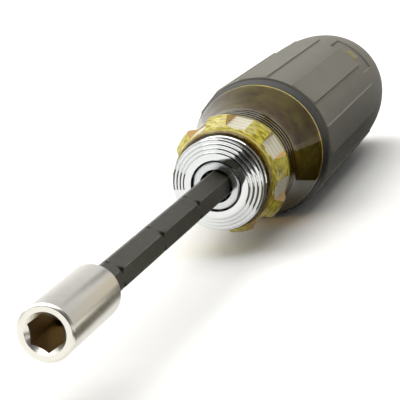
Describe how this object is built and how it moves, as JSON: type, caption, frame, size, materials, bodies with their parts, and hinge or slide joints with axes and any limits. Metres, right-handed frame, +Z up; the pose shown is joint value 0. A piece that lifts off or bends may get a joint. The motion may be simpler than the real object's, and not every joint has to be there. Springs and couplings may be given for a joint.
{
  "type": "multi-bit screwdriver",
  "caption": "Hand driver with a hex nut socket on a notched sliding blade, a sprung chrome release collar, and a transparent amber handle with a rubber cushion grip.",
  "frame": {"origin": "middle of the tool's box, on the ground that its grip lies on", "axes": "+X runs along the tool from the socket to the butt, +Z is up, +Y completes a right-handed frame"},
  "size_m": [0.2362, 0.0354, 0.0353],
  "materials": {
    "black_oxide_steel": "black oxide, satin",
    "nickel_plate": "nickel plate, fine turned satin",
    "magnet": "plated sintered magnet, dull",
    "chuck_steel": "turned steel, bright",
    "spring_steel": "spring steel, oiled",
    "ball_steel": "polished bearing steel",
    "chrome_plate": "mirror chrome plate",
    "amber_acetate": "transparent amber, polished",
    "grip_rubber": "matte dark grey cushion rubber"
  },
  "bodies": {
    "handle": {"handle_core": "amber_acetate", "cushion_grip": "grip_rubber", "chuck_body": "chuck_steel", "retaining_ring": "spring_steel", "spring_washer": "chuck_steel", "collar_spring": "spring_steel"},
    "blade": {"hex_blade": "black_oxide_steel", "nut_socket": "nickel_plate", "socket_magnet": "magnet"},
    "collar": {"collar_cap": "chrome_plate", "cam_sleeve": "chuck_steel", "spring_keeper": "chuck_steel"},
    "ball_1": {"detent_ball_1": "ball_steel"},
    "ball_2": {"detent_ball_2": "ball_steel"},
    "ball_3": {"detent_ball_3": "ball_steel"}
  },
  "joints": [
    {"name": "blade_slide", "type": "slide", "parent": "handle", "child": "blade", "axis": [1, 0, 0], "range_m": [-0.0762, 0.0762]},
    {"name": "collar_slide", "type": "slide", "parent": "handle", "child": "collar", "axis": [-1, 0, 0], "range_m": [0, 0.0024], "stiffness_N_per_m": 600, "springref_m": -0.003, "deforming": ["collar_spring"]},
    {"name": "ball_1_lift", "type": "slide", "parent": "handle", "child": "ball_1", "axis": [0, -0.866, 0.5], "range_m": [0, 0.00075]},
    {"name": "ball_2_lift", "type": "slide", "parent": "handle", "child": "ball_2", "axis": [0, 0, -1], "range_m": [0, 0.00075]},
    {"name": "ball_3_lift", "type": "slide", "parent": "handle", "child": "ball_3", "axis": [0, 0.866, 0.5], "range_m": [0, 0.00075]}
  ],
  "couplings": [
    {"joint": "ball_1_lift", "follows": "collar_slide", "ratio": 0.3125},
    {"joint": "ball_2_lift", "follows": "collar_slide", "ratio": 0.3125},
    {"joint": "ball_3_lift", "follows": "collar_slide", "ratio": 0.3125}
  ]
}
